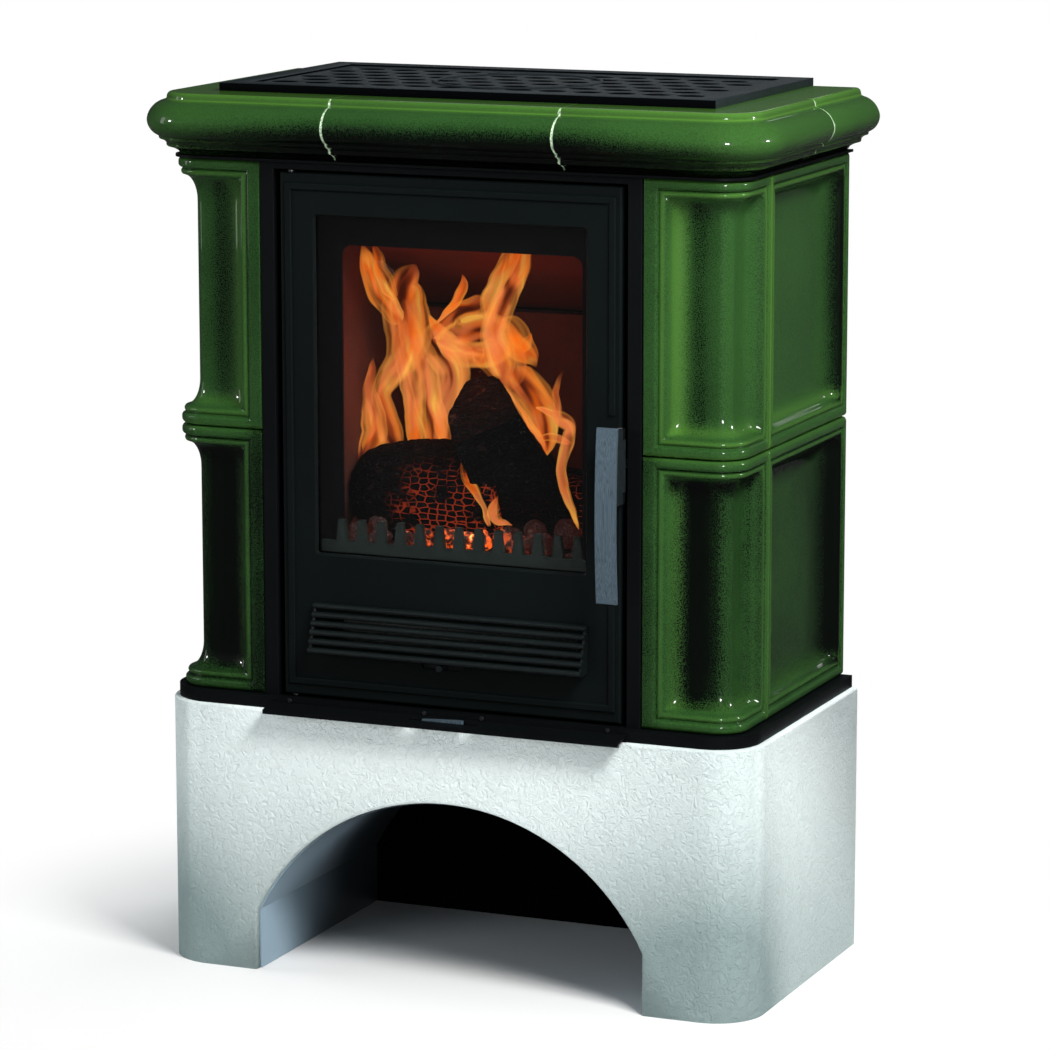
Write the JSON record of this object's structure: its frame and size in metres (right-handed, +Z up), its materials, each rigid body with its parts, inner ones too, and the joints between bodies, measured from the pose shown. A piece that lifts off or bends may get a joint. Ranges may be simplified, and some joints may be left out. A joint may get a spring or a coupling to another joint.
{
  "type": "tiled stove",
  "caption": "Wood stove with green glazed relief tiles and cornice on a white plastered plinth with an arched log store, glazed door, lattice top and rear flue.",
  "frame": {"origin": "middle of the footprint, on the floor", "axes": "+X to the right seen from the front, +Y to the back, +Z up"},
  "size_m": [0.758, 0.425, 1.011],
  "materials": {
    "tile_glaze": "deep green transparent gloss glaze, lighter where thin on the edges",
    "plaster": "white textured plaster, matt",
    "grey_sheet": "blue-grey satin sheet",
    "black_steel": "matt black heat-proof paint",
    "door_black": "fine satin black heat-proof paint",
    "bracket_black": "black textured paint",
    "screw_steel": "dark plated",
    "plain_steel": "plain steel",
    "pan_steel": "dull sheet steel",
    "galvanised": "galvanised sheet",
    "brushed_handle": "brushed stainless, grain along its length",
    "cast_iron": "dark grey painted casting",
    "firebrick": "pressed vermiculite board",
    "seal_tape": "flat woven glass tape",
    "seal_rope": "braided glass rope",
    "glass": "clear ceramic glass with a dark printed border"
  },
  "bodies": {
    "root": {"plinth": "plaster", "log_store_vault": "grey_sheet", "log_store_side_left": "grey_sheet", "log_store_side_right": "grey_sheet", "log_store_back": "grey_sheet", "base_plate": "black_steel", "ash_lip": "black_steel", "base_screws": "screw_steel", "lower_corner_tile_left": "tile_glaze", "lower_corner_tile_right": "tile_glaze", "lower_side_tile_left": "tile_glaze", "lower_side_tile_right": "tile_glaze", "upper_corner_tile_left": "tile_glaze", "upper_corner_tile_right": "tile_glaze", "upper_side_tile_left": "tile_glaze", "upper_side_tile_right": "tile_glaze", "cornice_front": "tile_glaze", "cornice_corner_left": "tile_glaze", "cornice_corner_right": "tile_glaze", "cornice_side_left": "tile_glaze", "cornice_side_right": "tile_glaze", "top_frame_plate": "black_steel", "front_surround": "black_steel", "latch_keeper": "plain_steel", "hinge_pins": "plain_steel", "front_plate": "black_steel", "firebox_shell": "black_steel", "blanking_lid": "cast_iron", "flue_spigot": "black_steel", "rear_heat_shield": "galvanised", "rear_upper_panel": "black_steel", "hearth_floor": "firebrick", "fire_grate": "cast_iron", "firebrick_left": "firebrick", "firebrick_right": "firebrick", "firebrick_rear": "firebrick", "baffle": "firebrick", "baffle_ledges": "plain_steel", "log_retainer": "cast_iron", "pan_runners": "plain_steel"},
    "door": {"door_frame": "door_black", "door_glass": "glass", "glass_seal": "seal_tape", "glass_clips": "plain_steel", "clip_screws": "screw_steel", "door_seal": "seal_rope", "louvre_panel": "door_black", "handle_pivot_pin": "plain_steel"},
    "handle": {"handle_bar": "brushed_handle", "handle_bracket": "bracket_black", "latch_tongue": "plain_steel"},
    "secondary_air": {"secondary_air_knob": "bracket_black", "secondary_air_slide": "plain_steel"},
    "primary_air": {"air_slider": "brushed_handle"},
    "ash_pan": {"ash_pan": "pan_steel"},
    "top_grille": {"top_grille": "cast_iron"}
  },
  "joints": [
    {"name": "door_swing", "type": "hinge", "parent": "root", "child": "door", "pos_m": [-0.196, -0.1605, 0.6215], "axis": [0, 0, -1], "range_deg": [0, 95]},
    {"name": "handle_turn", "type": "hinge", "parent": "door", "child": "handle", "pos_m": [0.206, -0.1795, 0.615], "axis": [0, 0, 1], "range_deg": [0, 15]},
    {"name": "secondary_air_slide", "type": "slide", "parent": "door", "child": "secondary_air", "axis": [1, 0, 0], "range_m": [-0.018, 0.018]},
    {"name": "primary_air_slide", "type": "slide", "parent": "root", "child": "primary_air", "axis": [1, 0, 0], "range_m": [-0.014, 0.014]},
    {"name": "ash_pan_slide", "type": "slide", "parent": "root", "child": "ash_pan", "axis": [0, -1, 0], "range_m": [0, 0.09]},
    {"name": "grille_lift", "type": "slide", "parent": "root", "child": "top_grille", "axis": [0, 0, 1], "range_m": [0, 0.08]}
  ],
  "couplings": [
    {"joint": "ash_pan_slide", "follows": "door_swing", "m_per_rad": 0.05}
  ]
}
